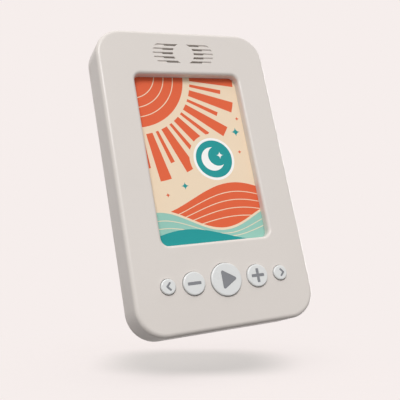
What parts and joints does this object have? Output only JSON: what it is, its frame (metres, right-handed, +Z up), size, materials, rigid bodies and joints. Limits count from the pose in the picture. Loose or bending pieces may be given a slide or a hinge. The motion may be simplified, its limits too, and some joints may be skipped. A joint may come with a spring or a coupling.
{
  "type": "audio story player",
  "caption": "Upright hand-held audio player for children: press buttons along the front, slotted speaker grille on top, and a story block that slides out of the back.",
  "frame": {"origin": "middle of the bottom edge, half way through the depth from the button tops to the back", "axes": "+X to the right as seen from the front, +Y from the front to the back, +Z up along the height"},
  "size_m": [0.1, 0.0212, 0.1656],
  "materials": {
    "casing": "fine satin moulded texture",
    "cap": "satin",
    "icon": "satin",
    "dark_plastic": "matte",
    "steel": "zinc plated",
    "magnet": "nickel plated",
    "gold": "gold plated",
    "board": "solder mask",
    "ceramic_chip": "matte",
    "foam": "open-cell foam",
    "mesh": "fine woven",
    "rubber_roll": "matte",
    "cone_paper": "coated paper",
    "label": "printed, matte laminate",
    "block_plastic": "satin",
    "battery_foil": "matte foil pouch",
    "lead": "soft insulation",
    "flex": "flat flex film"
  },
  "bodies": {
    "casing": {"front_shell": "casing", "rear_shell": "casing", "case_screws": "steel", "speaker_mesh": "mesh", "speaker_gasket": "foam", "speaker_basket": "dark_plastic", "speaker_surround": "rubber_roll", "speaker_cone": "cone_paper", "speaker_dust_cap": "cone_paper", "speaker_coil": "gold", "speaker_top_plate": "steel", "speaker_magnet": "magnet", "speaker_yoke": "steel", "speaker_pad": "foam", "speaker_leads": "lead", "speaker_plug": "block_plastic", "main_board": "board", "board_screws": "steel", "switch_bodies": "dark_plastic", "processor_chip": "dark_plastic", "amplifier_chip": "dark_plastic", "charger_chip": "dark_plastic", "power_inductor": "ceramic_chip", "board_capacitors": "ceramic_chip", "usb_shell": "steel", "usb_tongue": "dark_plastic", "headphone_jack": "dark_plastic", "battery_pack": "battery_foil", "battery_pad": "foam", "battery_leads": "lead", "battery_plug": "block_plastic", "contact_carrier": "dark_plastic", "contact_pins": "gold", "contact_ribbon": "flex", "bay_magnets": "magnet"},
    "play_button": {"play_cap": "cap", "play_icon": "icon", "play_plunger": "dark_plastic"},
    "volume_down_button": {"volume_down_cap": "cap", "volume_down_icon": "icon", "volume_down_plunger": "dark_plastic"},
    "volume_up_button": {"volume_up_cap": "cap", "volume_up_icon": "icon", "volume_up_plunger": "dark_plastic"},
    "back_button": {"back_cap": "cap", "back_icon": "icon", "back_plunger": "dark_plastic"},
    "next_button": {"next_cap": "cap", "next_icon": "icon", "next_plunger": "dark_plastic"},
    "story_block": {"block_shell": "block_plastic", "block_cover": "block_plastic", "block_label": "label", "block_board": "board", "block_memory": "dark_plastic", "block_pads": "gold", "block_keepers": "steel"}
  },
  "joints": [
    {"name": "play_press", "type": "slide", "parent": "casing", "child": "play_button", "axis": [0, 1, 0], "range_m": [0, 0.0006], "stiffness_N_per_m": 1200},
    {"name": "volume_down_press", "type": "slide", "parent": "casing", "child": "volume_down_button", "axis": [0, 1, 0], "range_m": [0, 0.0006], "stiffness_N_per_m": 1200},
    {"name": "volume_up_press", "type": "slide", "parent": "casing", "child": "volume_up_button", "axis": [0, 1, 0], "range_m": [0, 0.0006], "stiffness_N_per_m": 1200},
    {"name": "back_press", "type": "slide", "parent": "casing", "child": "back_button", "axis": [0, 1, 0], "range_m": [0, 0.0006], "stiffness_N_per_m": 1200},
    {"name": "next_press", "type": "slide", "parent": "casing", "child": "next_button", "axis": [0, 1, 0], "range_m": [0, 0.0006], "stiffness_N_per_m": 1200},
    {"name": "story_block_slide", "type": "slide", "parent": "casing", "child": "story_block", "axis": [0, 1, 0], "range_m": [0, 0.018]}
  ]
}
